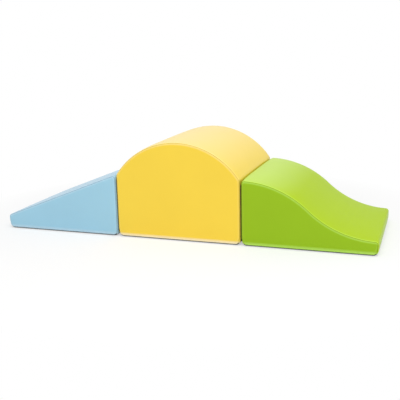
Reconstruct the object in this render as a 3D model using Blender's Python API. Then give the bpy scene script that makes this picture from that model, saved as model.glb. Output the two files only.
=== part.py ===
"""Soft play foam climber of three modules: a straight ramp, a round-topped hump and a wave slide.

Metres, +Z up. The origin is on the floor under the middle of the hump, +X runs from the hump
towards the slide, and the front side of every module faces -Y. Each module is a foam core in a
sewn cover: one wrap panel round the ends and the walking surface, a front and a back side panel,
and a base panel with the zip through which the foam is put in. Hook and loop strips along the
edges of the tall end faces hold the modules together.
"""

import math

import bmesh
import bpy
from mathutils import Vector

# Module sizes
MODULE_LENGTH = 0.600
MODULE_WIDTH = 0.600
DECK_HEIGHT = 0.300
RAMP_TOE_HEIGHT = 0.068
SLIDE_TOE_HEIGHT = 0.066
HUMP_HEIGHT = 0.460

# Roundings of the upholstered edges
EDGE_RADIUS = 0.011
BASE_CORNER_RADIUS = 0.013
DECK_CORNER_RADIUS = 0.014
SHOULDER_RADIUS = 0.024
TOE_CORNER_RADIUS = 0.013
EDGE_STEPS = 4
ARCH_STEPS = 28
WAVE_STEPS = 12

# Cover
COVER_THICKNESS = 0.0012
SEAM_GAP = 0.0010
TOUCH = 0.0003
CORE_INSET = COVER_THICKNESS + TOUCH
CUT_OVERRUN = 0.002

# Hook and loop strips on the tall end faces, with their margins to the module's sides, floor and deck
STRIP_WIDTH = 0.050
STRIP_THICKNESS = 0.0018
STRIP_CORNER_RADIUS = 0.006
STRIP_SIDE_MARGIN = 0.013
STRIP_FLOOR_MARGIN = 0.018
STRIP_DECK_MARGIN = 0.024
STRIP_HEIGHT = DECK_HEIGHT - STRIP_FLOOR_MARGIN - STRIP_DECK_MARGIN
STRIP_Y = (MODULE_WIDTH - STRIP_WIDTH) / 2 - STRIP_SIDE_MARGIN
STRIP_Z = STRIP_FLOOR_MARGIN + STRIP_HEIGHT / 2
MODULE_GAP = 2 * STRIP_THICKNESS + 3 * TOUCH

# Slot for the zip in the base panel, with its margins to the module's back and ends
ZIP_BACK_MARGIN = 0.100
ZIP_END_MARGIN = 0.050
SLOT_WIDTH = 0.020
SLOT_LENGTH = MODULE_LENGTH - 2 * ZIP_END_MARGIN
ZIP_Y = MODULE_WIDTH / 2 - ZIP_BACK_MARGIN

# Zip slider and its pull
TEETH_THICKNESS = 0.0024
SLIDER_LENGTH = 0.012
SLIDER_SIDE_WALL = 0.0017
SLIDER_PLATE = 0.0010
SLIDER_CORNER_RADIUS = 0.0016
POST_LENGTH = 0.0030
POST_WIDTH = 0.0010
POST_NOSE_MARGIN = 0.0010
BAIL_WIDTH = 0.0016
BAIL_LEG = 0.0012
BAIL_WINDOW_LENGTH = 0.0030
BAIL_BRIDGE = 0.0008
BAIL_FLOOR_MARGIN = 0.0017
PULL_LENGTH = 0.0250
PULL_WIDTH = 0.0080
PULL_THICKNESS = 0.0013
PULL_PIN_WIDTH = 0.0013
PULL_CORNER_RADIUS = 0.0025
PULL_END_MARGIN = 0.0050
PIN_CLEARANCE = 0.00045
EYE_CLEARANCE = 0.0013
PLATE_DROP = TEETH_THICKNESS / 2 + TOUCH + SLIDER_PLATE
PIN_DROP = PLATE_DROP + PIN_CLEARANCE + PULL_THICKNESS / 2
BAIL_DROP = 2 * PIN_DROP - PLATE_DROP + BAIL_BRIDGE
EYE_WIDTH = BAIL_WIDTH + 2 * EYE_CLEARANCE
EYE_LENGTH = (BAIL_WINDOW_LENGTH - PULL_PIN_WIDTH) / 2 + BAIL_LEG + PIN_CLEARANCE * 2

# Zip tapes, teeth and stops
ZIP_Z = BAIL_FLOOR_MARGIN + BAIL_DROP
TEETH_WIDTH = 0.0022
TEETH_SLIT = POST_WIDTH + 2 * TOUCH
TEETH_OUTER_Y = TEETH_SLIT / 2 + TEETH_WIDTH
TAPE_THICKNESS = 0.0006
TAPE_SEAM_WIDTH = 0.008
TAPE_END_MARGIN = 0.004
TAPE_RISE_RUN = 0.002
TAPE_LENGTH = SLOT_LENGTH + 2 * TAPE_END_MARGIN
STOP_LENGTH = 0.003
STOP_END_MARGIN = 0.0015
TEETH_END_X = SLOT_LENGTH / 2 - STOP_END_MARGIN - STOP_LENGTH
SLIDER_REST_X = TEETH_END_X - TOUCH - SLIDER_LENGTH / 2
SLIDER_OPEN_X = PULL_END_MARGIN + PULL_LENGTH - PULL_PIN_WIDTH / 2 - SLOT_LENGTH / 2
TEETH_START_X = SLIDER_OPEN_X - SLIDER_LENGTH / 2 - TOUCH
POCKET_CLEARANCE = 0.0028
POCKET_LENGTH = TAPE_LENGTH + 2 * POCKET_CLEARANCE
POCKET_WIDTH = SLOT_WIDTH + 2 * TAPE_SEAM_WIDTH + 2 * POCKET_CLEARANCE
POCKET_DEPTH = ZIP_Z + PLATE_DROP + POCKET_CLEARANCE

# Finishes: colour, roughness, metallic
BLUE_COVER = ((0.36, 0.60, 0.74), 0.45, 0.0)
YELLOW_COVER = ((0.91, 0.64, 0.09), 0.45, 0.0)
GREEN_COVER = ((0.29, 0.52, 0.02), 0.45, 0.0)
FOAM = ((0.82, 0.79, 0.66), 0.95, 0.0)
BASE_CLOTH = ((0.09, 0.10, 0.11), 0.85, 0.0)
ZIP_TAPE = ((0.06, 0.06, 0.07), 0.90, 0.0)
ZIP_TEETH = ((0.05, 0.05, 0.06), 0.40, 0.0)
ZIP_METAL = ((0.45, 0.45, 0.46), 0.35, 1.0)
HOOK_AND_LOOP = ((0.03, 0.03, 0.035), 0.95, 0.0)

SEAM_ANGLE = math.radians(45)


def clear_scene():
    for obj in list(bpy.data.objects):
        bpy.data.objects.remove(obj, do_unlink=True)


def make_material(name, finish):
    colour, roughness, metallic = finish
    made = bpy.data.materials.new(name)
    made.use_nodes = True
    shader = made.node_tree.nodes["Principled BSDF"]
    shader.inputs["Base Color"].default_value = (*colour, 1.0)
    shader.inputs["Roughness"].default_value = roughness
    shader.inputs["Metallic"].default_value = metallic
    return made


def add_empty(name, location):
    empty = bpy.data.objects.new(name, None)
    empty.location = location
    bpy.context.scene.collection.objects.link(empty)
    return empty


def add_object(name, bm, finish=None, parent=None, location=(0.0, 0.0, 0.0)):
    mesh = bpy.data.meshes.new(name)
    bm.to_mesh(mesh)
    bm.free()
    return add_mesh(name, mesh, finish, parent, location)


def add_mesh(name, mesh, finish=None, parent=None, location=(0.0, 0.0, 0.0)):
    obj = bpy.data.objects.new(name, mesh)
    if finish and not mesh.materials:
        mesh.materials.append(finish)
    obj.parent = parent
    obj.location = location
    bpy.context.scene.collection.objects.link(obj)
    return obj


def add_cutter(name, bm, parent=None, location=(0.0, 0.0, 0.0)):
    """A helper that Booleans use, which is no piece of the object."""
    cutter = add_object(name, bm, parent=parent, location=location)
    cutter.hide_render = True
    cutter.display_type = "WIRE"
    return cutter


def boolean(obj, operation, other):
    modifier = obj.modifiers.new(other.name, "BOOLEAN")
    modifier.operation = operation
    modifier.solver = "EXACT"
    modifier.object = other


def thicken(obj, thickness, offset):
    """An offset of -1 grows inwards from the mesh, and 0 grows to both sides."""
    modifier = obj.modifiers.new("thickness", "SOLIDIFY")
    modifier.thickness = thickness
    modifier.offset = offset
    modifier.use_even_offset = True


def shade(obj, sharp_degrees=40):
    obj.data.shade_smooth()
    obj.data.set_sharp_from_angle(angle=math.radians(sharp_degrees))


def box_mesh(length, width, height):
    bm = bmesh.new()
    bmesh.ops.create_cube(bm, size=1.0)
    bmesh.ops.scale(bm, verts=bm.verts, vec=(length, width, height))
    return bm


def extrude_outline(points, depth):
    """A prism along +Y from an (x, z) outline that runs anticlockwise seen from the front."""
    bm = bmesh.new()
    face = bm.faces.new([bm.verts.new((x, -depth / 2, z)) for x, z in points])
    grown = bmesh.ops.extrude_face_region(bm, geom=[face])["geom"]
    far_side = [item for item in grown if isinstance(item, bmesh.types.BMVert)]
    bmesh.ops.translate(bm, verts=far_side, vec=(0.0, depth, 0.0))
    bmesh.ops.recalc_face_normals(bm, faces=bm.faces)
    return bm


# Outlines, as (x, z) points in a module's own frame with x from its middle


def arc_points(centre_x, centre_z, radius, start, end, steps):
    """The points between the two ends of an arc, which are left out."""
    return [
        (
            centre_x + radius * math.cos(start + (end - start) * step / steps),
            centre_z + radius * math.sin(start + (end - start) * step / steps),
        )
        for step in range(1, steps)
    ]


def round_corners(corners):
    """Replaces each (x, z, radius) corner by an arc. A radius of zero keeps the point."""
    outline = []
    for index, (x, z, radius) in enumerate(corners):
        corner = Vector((x, z))
        if not radius:
            outline.append(corner)
            continue
        before = (Vector(corners[index - 1][:2]) - corner).normalized()
        after = (Vector(corners[(index + 1) % len(corners)][:2]) - corner).normalized()
        half_angle = before.angle(after) / 2
        centre = corner + (before + after).normalized() * radius / math.sin(half_angle)
        start = corner + before * radius / math.tan(half_angle) - centre
        turn = math.pi - 2 * half_angle
        for step in range(EDGE_STEPS + 1):
            angle = turn * step / EDGE_STEPS
            spoke = Vector(
                (
                    start.x * math.cos(angle) - start.y * math.sin(angle),
                    start.x * math.sin(angle) + start.y * math.cos(angle),
                )
            )
            outline.append(centre + spoke)
    return outline


def inset_outline(outline, distance):
    """Moves each side of a closed anticlockwise outline inwards by the distance."""
    moved = []
    for index, point in enumerate(outline):
        before = (point - outline[index - 1]).normalized()
        after = (outline[(index + 1) % len(outline)] - point).normalized()
        first = Vector((-before.y, before.x))
        second = Vector((-after.y, after.x))
        moved.append(point + (first + second) * distance / (1 + first.dot(second)))
    return moved


def ramp_outline():
    half = MODULE_LENGTH / 2
    return round_corners(
        [
            (-half, 0.0, BASE_CORNER_RADIUS),
            (half, 0.0, BASE_CORNER_RADIUS),
            (half, DECK_HEIGHT, DECK_CORNER_RADIUS),
            (-half, RAMP_TOE_HEIGHT, TOE_CORNER_RADIUS),
        ]
    )


def hump_outline():
    """Straight ends up to the shoulders, then one arc over the top."""
    half = MODULE_LENGTH / 2
    rise = HUMP_HEIGHT - DECK_HEIGHT
    radius = (half**2 + rise**2) / (2 * rise)
    centre_z = HUMP_HEIGHT - radius
    start = math.atan2(DECK_HEIGHT - centre_z, half)
    arch = arc_points(0.0, centre_z, radius, start, math.pi - start, ARCH_STEPS)
    return round_corners(
        [
            (-half, 0.0, BASE_CORNER_RADIUS),
            (half, 0.0, BASE_CORNER_RADIUS),
            (half, DECK_HEIGHT, SHOULDER_RADIUS),
            *[(x, z, 0.0) for x, z in arch],
            (-half, DECK_HEIGHT, SHOULDER_RADIUS),
        ]
    )


def slide_outline():
    """The wave is two arcs of one radius that meet halfway, level at the deck and at the toe."""
    half = MODULE_LENGTH / 2
    drop = (DECK_HEIGHT - SLIDE_TOE_HEIGHT) / 2
    radius = (half**2 + drop**2) / (2 * drop)
    sweep = math.asin(half / radius)
    level = math.radians(90)
    hollow = arc_points(half, SLIDE_TOE_HEIGHT + radius, radius, -level, -level - sweep, WAVE_STEPS)
    crest = arc_points(-half, DECK_HEIGHT - radius, radius, level - sweep, level, WAVE_STEPS)
    middle = (0.0, (DECK_HEIGHT + SLIDE_TOE_HEIGHT) / 2)
    return round_corners(
        [
            (-half, 0.0, BASE_CORNER_RADIUS),
            (half, 0.0, BASE_CORNER_RADIUS),
            (half, SLIDE_TOE_HEIGHT, TOE_CORNER_RADIUS),
            *[(x, z, 0.0) for x, z in [*hollow, middle, *crest]],
            (-half, DECK_HEIGHT, DECK_CORNER_RADIUS),
        ]
    )


# Foam cores and sewn covers


def block_mesh(outline, inset=0.0):
    """The whole upholstered block, or the same block smaller by the inset on every side."""
    bm = extrude_outline(inset_outline(outline, inset), MODULE_WIDTH - 2 * inset)
    rim = [edge for edge in bm.edges if edge.verts[0].co.y * edge.verts[1].co.y > 0]
    bmesh.ops.bevel(
        bm,
        geom=rim,
        offset=EDGE_RADIUS - inset,
        offset_type="OFFSET",
        segments=EDGE_STEPS,
        profile=0.5,
        material=-1,
        affect="EDGES",
    )
    return bm


def on_side(face):
    return abs(face.normal.y) > math.sin(SEAM_ANGLE)


def on_front(face):
    return on_side(face) and face.normal.y < 0


def on_back(face):
    return on_side(face) and face.normal.y > 0


def on_base(face):
    across = math.hypot(face.normal.x, face.normal.z)
    return not on_side(face) and face.normal.z < -math.sin(SEAM_ANGLE) * across


def on_wrap(face):
    return not on_side(face) and not on_base(face)


def add_cover_panel(name, outline, belongs, finish, parent):
    """One sewn panel: the block's faces that belong to it, trimmed at the seams and thickened."""
    bm = block_mesh(outline)
    others = [face for face in bm.faces if not belongs(face)]
    bmesh.ops.delete(bm, geom=others, context="FACES")
    trimmed = bmesh.ops.inset_region(
        bm, faces=bm.faces, thickness=SEAM_GAP / 2, use_boundary=True, use_even_offset=True
    )
    bmesh.ops.delete(bm, geom=trimmed["faces"], context="FACES")
    panel = add_object(name, bm, finish, parent)
    thicken(panel, COVER_THICKNESS, -1.0)
    shade(panel)
    return panel


def add_foam_core(name, outline, parent, finish):
    """The core has a shallow pocket over the zip."""
    core = add_object(name, block_mesh(outline, CORE_INSET), finish, parent)
    pocket_mesh = box_mesh(POCKET_LENGTH, POCKET_WIDTH, 2 * POCKET_DEPTH)
    boolean(core, "DIFFERENCE", add_cutter(name + "_pocket", pocket_mesh, parent, (0.0, ZIP_Y, 0.0)))
    shade(core)


def add_base_panel(name, outline, parent, finish):
    """The base panel has the slot that the zip closes."""
    panel = add_cover_panel(name, outline, on_base, finish, parent)
    slot_mesh = box_mesh(SLOT_LENGTH, SLOT_WIDTH, 2 * (COVER_THICKNESS + CUT_OVERRUN))
    boolean(panel, "DIFFERENCE", add_cutter(name + "_slot", slot_mesh, parent, (0.0, ZIP_Y, 0.0)))


# Zip: two tapes, two rows of teeth, stops, a slider and its pull


def tape_mesh(side):
    """A tape's margin sewn to the base panel, its rise into the pocket, and its inner edge."""
    sewn_z = COVER_THICKNESS + TOUCH + TAPE_THICKNESS / 2
    foot = SLOT_WIDTH / 2
    head = foot - TAPE_RISE_RUN
    section = [
        (foot + TAPE_SEAM_WIDTH, sewn_z),
        (foot, sewn_z),
        (head, ZIP_Z),
        (TEETH_OUTER_Y + TOUCH, ZIP_Z),
    ]
    bm = bmesh.new()
    verts = [bm.verts.new((-TAPE_LENGTH / 2, side * y, z)) for y, z in section]
    edges = [bm.edges.new(pair) for pair in zip(verts, verts[1:])]
    grown = bmesh.ops.extrude_edge_only(bm, edges=edges)["geom"]
    far_end = [item for item in grown if isinstance(item, bmesh.types.BMVert)]
    bmesh.ops.translate(bm, verts=far_end, vec=(TAPE_LENGTH, 0.0, 0.0))
    for face in bm.faces:
        face.normal_update()
        if face.normal.z < 0:
            face.normal_flip()
    return bm


def bar_mesh(start, end, first, last):
    """A bar along X as thick as the teeth, from y = first to y = last."""
    bm = box_mesh(end - start, abs(last - first), TEETH_THICKNESS)
    middle = ((start + end) / 2, (first + last) / 2, ZIP_Z)
    bmesh.ops.translate(bm, verts=bm.verts, vec=middle)
    return bm


def teeth_mesh(side):
    """A row of teeth as one bar. The slit between the rows lets the slider's post pass."""
    inner, outer = side * TEETH_SLIT / 2, side * TEETH_OUTER_Y
    return bar_mesh(TEETH_START_X + TOUCH, TEETH_END_X - TOUCH, inner, outer)


def top_stop_mesh(side):
    inner, outer = side * TEETH_SLIT / 2, side * TEETH_OUTER_Y
    return bar_mesh(TEETH_END_X, TEETH_END_X + STOP_LENGTH, inner, outer)


def bottom_stop_mesh():
    return bar_mesh(TEETH_START_X - STOP_LENGTH, TEETH_START_X, -TEETH_OUTER_Y, TEETH_OUTER_Y)


def rounded_plate_mesh(length, width, thickness, radius):
    """A plate in the XY plane with round corners."""
    half_x, half_y = length / 2, width / 2
    corners = [(-half_x, -half_y), (half_x, -half_y), (half_x, half_y), (-half_x, half_y)]
    bm = extrude_outline(round_corners([(x, y, radius) for x, y in corners]), thickness)
    for vert in bm.verts:
        vert.co = (vert.co.x, vert.co.z, vert.co.y)
    bmesh.ops.reverse_faces(bm, faces=bm.faces)
    return bm


def bake(obj, name):
    """The object's mesh with its modifiers applied. The object itself is then removed."""
    graph = bpy.context.evaluated_depsgraph_get()
    graph.update()
    mesh = bpy.data.meshes.new_from_object(obj.evaluated_get(graph))
    mesh.name = name
    bpy.data.objects.remove(obj, do_unlink=True)
    return mesh


def make_slider_mesh():
    """Two plates joined by the nose post, with a bail on the outer one. The teeth run at z = 0."""
    channel_width = 2 * (TEETH_OUTER_Y + TOUCH)
    channel_height = TEETH_THICKNESS + 2 * TOUCH
    width = channel_width + 2 * SLIDER_SIDE_WALL
    body_mesh = rounded_plate_mesh(SLIDER_LENGTH, width, 2 * PLATE_DROP, SLIDER_CORNER_RADIUS)
    body = add_object("slider_body", body_mesh)
    through = SLIDER_LENGTH + 2 * CUT_OVERRUN
    channel = box_mesh(through, channel_width, channel_height)
    boolean(body, "DIFFERENCE", add_cutter("slider_channel", channel))
    tape_slots = box_mesh(through, width + 2 * CUT_OVERRUN, TAPE_THICKNESS + 2 * TOUCH)
    boolean(body, "DIFFERENCE", add_cutter("slider_tape_slots", tape_slots))
    post = box_mesh(POST_LENGTH, POST_WIDTH, channel_height + SLIDER_PLATE)
    post_x = (SLIDER_LENGTH - POST_LENGTH) / 2 - POST_NOSE_MARGIN
    boolean(body, "UNION", add_cutter("slider_post", post, location=(post_x, 0.0, 0.0)))
    bail_top = SLIDER_PLATE / 2 - PLATE_DROP
    bail = box_mesh(BAIL_WINDOW_LENGTH + 2 * BAIL_LEG, BAIL_WIDTH, bail_top + BAIL_DROP)
    bail_at = (0.0, 0.0, (bail_top - BAIL_DROP) / 2)
    boolean(body, "UNION", add_cutter("slider_bail", bail, location=bail_at))
    window = box_mesh(BAIL_WINDOW_LENGTH, BAIL_WIDTH + 2 * CUT_OVERRUN, 2 * (PIN_DROP - PLATE_DROP))
    boolean(body, "DIFFERENCE", add_cutter("slider_window", window, location=(0.0, 0.0, -PIN_DROP)))
    return bake(body, "zip_slider")


def make_pull_mesh():
    """A flat tab with an eye round the bail. The bar at its end is the pin, on the hinge's axis."""
    tab_mesh = rounded_plate_mesh(PULL_LENGTH, PULL_WIDTH, PULL_THICKNESS, PULL_CORNER_RADIUS)
    pin_at_origin = ((PULL_PIN_WIDTH - PULL_LENGTH) / 2, 0.0, 0.0)
    bmesh.ops.translate(tab_mesh, verts=tab_mesh.verts, vec=pin_at_origin)
    tab = add_object("pull_tab", tab_mesh)
    eye = box_mesh(EYE_LENGTH, EYE_WIDTH, PULL_THICKNESS + 2 * CUT_OVERRUN)
    eye_at = (-(PULL_PIN_WIDTH + EYE_LENGTH) / 2, 0.0, 0.0)
    boolean(tab, "DIFFERENCE", add_cutter("pull_eye", eye, location=eye_at))
    return bake(tab, "zip_pull")


def make_zip_meshes():
    """The meshes that the three zips share, by the end of their nodes' names."""
    made = {}
    for side, place in ((-1, "front"), (1, "back")):
        made["zip_tape_" + place] = tape_mesh(side)
        made["zip_teeth_" + place] = teeth_mesh(side)
        made["zip_top_stop_" + place] = top_stop_mesh(side)
    made["zip_bottom_stop"] = bottom_stop_mesh()
    meshes = {}
    for name, bm in made.items():
        meshes[name] = bpy.data.meshes.new(name)
        bm.to_mesh(meshes[name])
        bm.free()
    return meshes


def zip_finish(name, finishes):
    if "tape" in name:
        return finishes["zip_tape"]
    return finishes["zip_teeth" if "teeth" in name else "zip_metal"]


def add_zip(module, parent, meshes, slider_mesh, pull_mesh, finishes):
    """The closed zip. Its slider stands with its nose against the top stops, at the +X end."""
    for name, mesh in meshes.items():
        finish = zip_finish(name, finishes)
        piece = add_mesh(module + "_" + name, mesh, finish, parent, (0.0, ZIP_Y, 0.0))
        if "tape" in name:
            thicken(piece, TAPE_THICKNESS, 0.0)
    metal = finishes["zip_metal"]
    slider_at = (SLIDER_REST_X, ZIP_Y, ZIP_Z)
    slider = add_mesh(module + "_zip_slider", slider_mesh, metal, parent, slider_at)
    add_mesh(module + "_zip_pull", pull_mesh, metal, slider, (0.0, 0.0, -PIN_DROP))


# Hook and loop strips


def make_strip_mesh():
    """An upright strip with its back in the plane x = 0 and its pile towards +X."""
    bm = rounded_plate_mesh(STRIP_HEIGHT, STRIP_WIDTH, STRIP_THICKNESS, STRIP_CORNER_RADIUS)
    for vert in bm.verts:
        along, across, out = vert.co
        vert.co = (out + STRIP_THICKNESS / 2, across, along)
    bmesh.ops.reverse_faces(bm, faces=bm.faces)
    mesh = bpy.data.meshes.new("strip")
    bm.to_mesh(mesh)
    bm.free()
    return mesh


def add_strips(name, parent, facing, mesh, finish):
    """Two strips sewn to the end face that looks along +X or -X, as facing says."""
    for side, place in ((-1, "front"), (1, "back")):
        at_face = (facing * (MODULE_LENGTH / 2 + TOUCH), side * STRIP_Y, STRIP_Z)
        strip = add_mesh(name + "_" + place, mesh, finish, parent, at_face)
        if facing < 0:
            strip.rotation_euler.z = math.pi


# The three modules


def add_module(module, centre_x, outline, cover, finishes):
    parent = add_empty(module, (centre_x, 0.0, 0.0))
    add_foam_core(module + "_foam_core", outline, parent, finishes["foam"])
    add_cover_panel(module + "_wrap_panel", outline, on_wrap, cover, parent)
    add_cover_panel(module + "_front_panel", outline, on_front, cover, parent)
    add_cover_panel(module + "_back_panel", outline, on_back, cover, parent)
    add_base_panel(module + "_base_panel", outline, parent, finishes["base_cloth"])
    return parent


def main():
    clear_scene()
    finishes = {
        "foam": make_material("foam", FOAM),
        "base_cloth": make_material("base_cloth", BASE_CLOTH),
        "zip_tape": make_material("zip_tape", ZIP_TAPE),
        "zip_teeth": make_material("zip_teeth", ZIP_TEETH),
        "zip_metal": make_material("zip_metal", ZIP_METAL),
    }
    hook_and_loop = make_material("hook_and_loop", HOOK_AND_LOOP)
    blue = make_material("blue_cover", BLUE_COVER)
    yellow = make_material("yellow_cover", YELLOW_COVER)
    green = make_material("green_cover", GREEN_COVER)
    pitch = MODULE_LENGTH + MODULE_GAP
    ramp = add_module("ramp", -pitch, ramp_outline(), blue, finishes)
    hump = add_module("hump", 0.0, hump_outline(), yellow, finishes)
    slide = add_module("slide", pitch, slide_outline(), green, finishes)
    strip = make_strip_mesh()
    add_strips("ramp_loop_strip", ramp, 1, strip, hook_and_loop)
    add_strips("hump_hook_strip_ramp_side", hump, -1, strip, hook_and_loop)
    add_strips("hump_hook_strip_slide_side", hump, 1, strip, hook_and_loop)
    add_strips("slide_loop_strip", slide, -1, strip, hook_and_loop)
    zip_meshes = make_zip_meshes()
    slider_mesh = make_slider_mesh()
    pull_mesh = make_pull_mesh()
    for module, parent in (("ramp", ramp), ("hump", hump), ("slide", slide)):
        add_zip(module, parent, zip_meshes, slider_mesh, pull_mesh, finishes)


main()
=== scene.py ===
import math

import bmesh
import bpy
from mathutils import Matrix, Vector, bvhtree, geometry, interpolate, kdtree, noise


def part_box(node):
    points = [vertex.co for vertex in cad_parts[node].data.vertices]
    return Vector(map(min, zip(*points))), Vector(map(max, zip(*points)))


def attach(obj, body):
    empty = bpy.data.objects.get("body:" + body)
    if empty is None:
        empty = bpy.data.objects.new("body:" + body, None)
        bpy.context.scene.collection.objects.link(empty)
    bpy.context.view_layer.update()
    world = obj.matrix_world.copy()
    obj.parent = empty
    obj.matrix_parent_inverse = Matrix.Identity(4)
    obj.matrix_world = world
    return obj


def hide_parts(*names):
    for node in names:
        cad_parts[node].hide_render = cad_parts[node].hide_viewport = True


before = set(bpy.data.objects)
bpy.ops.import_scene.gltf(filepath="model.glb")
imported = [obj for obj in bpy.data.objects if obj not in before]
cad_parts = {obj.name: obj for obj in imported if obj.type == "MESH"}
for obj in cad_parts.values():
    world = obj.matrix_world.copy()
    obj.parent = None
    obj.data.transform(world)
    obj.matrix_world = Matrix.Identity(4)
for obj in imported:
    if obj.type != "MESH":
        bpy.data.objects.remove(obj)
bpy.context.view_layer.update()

# Camera. It looks down a little on the row from its right, as the photograph does, and leans about a degree.
# Its place and angles come from fitting the blocks' corners to the photograph.
CAMERA_PLACE = (1.101, -3.152, 0.9353)
CAMERA_TURN = math.radians(19.087)
CAMERA_DIP = math.radians(13.64)
CAMERA_LEAN = math.radians(-1.27)
PHOTO_WIDTH = 400
FOCAL_PIXELS = 688.2
SENSOR_WIDTH = 36.0

camera_data = bpy.data.cameras.new("camera")
camera_data.sensor_width = SENSOR_WIDTH
camera_data.lens = FOCAL_PIXELS / PHOTO_WIDTH * SENSOR_WIDTH
camera = bpy.data.objects.new("camera", camera_data)
turn = Matrix.Rotation(CAMERA_TURN, 4, "Z")
dip = Matrix.Rotation(math.pi / 2 - CAMERA_DIP, 4, "X")
lean = Matrix.Rotation(CAMERA_LEAN, 4, "Z")
camera.matrix_world = Matrix.Translation(CAMERA_PLACE) @ turn @ dip @ lean
bpy.context.scene.collection.objects.link(camera)
bpy.context.scene.camera = camera
bpy.context.scene.view_settings.view_transform = "Standard"


# Studio. A white paper floor and white surroundings, with one wide soft box at the front right. The floor
# and the surroundings look plain white to the camera and in reflections, and the floor keeps its shadow.
FLOOR_SIZE = 60.0
FLOOR_DROP = 0.0006
FLOOR_GREY = 0.90
FLOOR_PLAIN_WHITE_SHARE = 0.50
SHADOW_REACH = 0.9
SHADOW_FADE = 0.5
SURROUNDINGS_LIGHT = 0.59
SOFT_BOX_SIZE = 4.5
SOFT_BOX_PLACE = (1.3, -2.6, 4.7)
SOFT_BOX_POWER = 200.0


class Wire:
    """A socket in a material or world. Python's operators on it add Math nodes, and add() any other node."""

    def __init__(self, tree, socket=None):
        self.tree = tree
        self.socket = socket

    def add(self, kind, settings=None, inputs=None, output=0):
        node = self.tree.nodes.new(kind)
        for name, value in (settings or {}).items():
            setattr(node, name, value)
        for name, value in (inputs or {}).items():
            if isinstance(value, Wire):
                self.tree.links.new(value.socket, node.inputs[name])
            else:
                node.inputs[name].default_value = value
        return Wire(self.tree, node.outputs[output] if node.outputs else None)

    def math(self, operation, *values):
        return self.add("ShaderNodeMath", {"operation": operation}, dict(enumerate(values)))

    def __add__(self, other):
        return self.math("ADD", self, other)

    def __radd__(self, other):
        return self.math("ADD", other, self)

    def __sub__(self, other):
        return self.math("SUBTRACT", self, other)

    def __rsub__(self, other):
        return self.math("SUBTRACT", other, self)

    def __mul__(self, other):
        return self.math("MULTIPLY", self, other)

    def __rmul__(self, other):
        return self.math("MULTIPLY", other, self)

    def __truediv__(self, other):
        return self.math("DIVIDE", self, other)

    def clamped(self):
        return self.math("MINIMUM", self.math("MAXIMUM", self, 0.0), 1.0)

    def ranged(self, start, rise):
        """Turns 0 to 1 into the range from the start to the start plus the rise."""
        return self * rise + start

    def waves(self, pitch):
        """A sine wave of this pitch, in metres."""
        return self.math("SINE", self * (2 * math.pi / pitch))

    def axis(self, name):
        return self.add("ShaderNodeSeparateXYZ", inputs={"Vector": self}, output=name)

    def noise(self, scale, detail):
        return self.add("ShaderNodeTexNoise", inputs={"Vector": self, "Scale": scale, "Detail": detail})

    def mixed(self, share, first, second):
        """The first colour, with this share of the second in it."""
        colours = [c if isinstance(c, Wire) else (*c, 1.0) for c in (first, second)]
        inputs = {"Factor": share, 6: colours[0], 7: colours[1]}
        return self.add("ShaderNodeMix", {"data_type": "RGBA"}, inputs, output=2)

    def surfaced(self, tone, roughness, relief, more=None):
        """Ends a material in a shader of this colour, roughness and relief, in metres."""
        bump = self.add("ShaderNodeBump", inputs={"Distance": 1.0, "Height": relief})
        inputs = {"Base Color": tone, "Roughness": roughness, "Normal": bump, **(more or {})}
        shader = self.add("ShaderNodeBsdfPrincipled", inputs=inputs)
        self.add("ShaderNodeOutputMaterial", inputs={"Surface": shader})


def seen_plain(tree):
    """1 for a ray that comes from the camera, a reflection or a clear body, and 0 for light on the object."""
    start = Wire(tree)
    kinds = ("Camera", "Glossy", "Transmission")
    rays = [start.add("ShaderNodeLightPath", output=f"Is {kind} Ray") for kind in kinds]
    return (rays[0] + rays[1] + rays[2]).clamped()


def new_material(name):
    """An empty material, the wire that its nodes start from, and the place on the object."""
    material = bpy.data.materials.new(name)
    material.use_nodes = True
    material.node_tree.nodes.clear()
    start = Wire(material.node_tree)
    return material, start, start.add("ShaderNodeTexCoord", output="Object")


def shade(colour, share):
    return [channel * share for channel in colour]


def as_object(name, bm):
    """Turns the mesh into an object of the scene."""
    mesh = bpy.data.meshes.new(name)
    bm.to_mesh(mesh)
    bm.free()
    made = bpy.data.objects.new(name, mesh)
    bpy.context.scene.collection.objects.link(made)
    return made


world = bpy.data.worlds.new("surroundings")
world.use_nodes = True
world.node_tree.nodes.clear()
sky = Wire(world.node_tree)
sky_strength = seen_plain(world.node_tree) * (1.0 - SURROUNDINGS_LIGHT) + SURROUNDINGS_LIGHT
sky_light = sky.add("ShaderNodeBackground", inputs={"Color": (1.0, 1.0, 1.0, 1.0), "Strength": sky_strength})
sky.add("ShaderNodeOutputWorld", inputs={"Surface": sky_light})
bpy.context.scene.world = world

paper, sheet, paper_place = new_material("studio_floor")
paper_seen = seen_plain(paper.node_tree)
paper_matt = sheet.add("ShaderNodeBsdfDiffuse", inputs={"Color": (FLOOR_GREY, FLOOR_GREY, FLOOR_GREY, 1.0)})
paper_white = sheet.add("ShaderNodeEmission", inputs={"Color": (1.0, 1.0, 1.0, 1.0)})
from_object = sheet.add("ShaderNodeVectorMath", {"operation": "LENGTH"}, {0: paper_place}, output="Value")
far_off = ((from_object - SHADOW_REACH) / SHADOW_FADE).clamped()
paper_share = paper_seen * (far_off * (1.0 - FLOOR_PLAIN_WHITE_SHARE) + FLOOR_PLAIN_WHITE_SHARE)
paper_look = sheet.add("ShaderNodeMixShader", inputs={0: paper_share, 1: paper_matt, 2: paper_white})
sheet.add("ShaderNodeOutputMaterial", inputs={"Surface": paper_look})

floor_bm = bmesh.new()
bmesh.ops.create_grid(floor_bm, x_segments=1, y_segments=1, size=FLOOR_SIZE / 2)
bmesh.ops.translate(floor_bm, verts=floor_bm.verts, vec=(0.0, 0.0, -FLOOR_DROP))
floor = as_object("floor", floor_bm)
floor.data.materials.append(paper)

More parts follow.
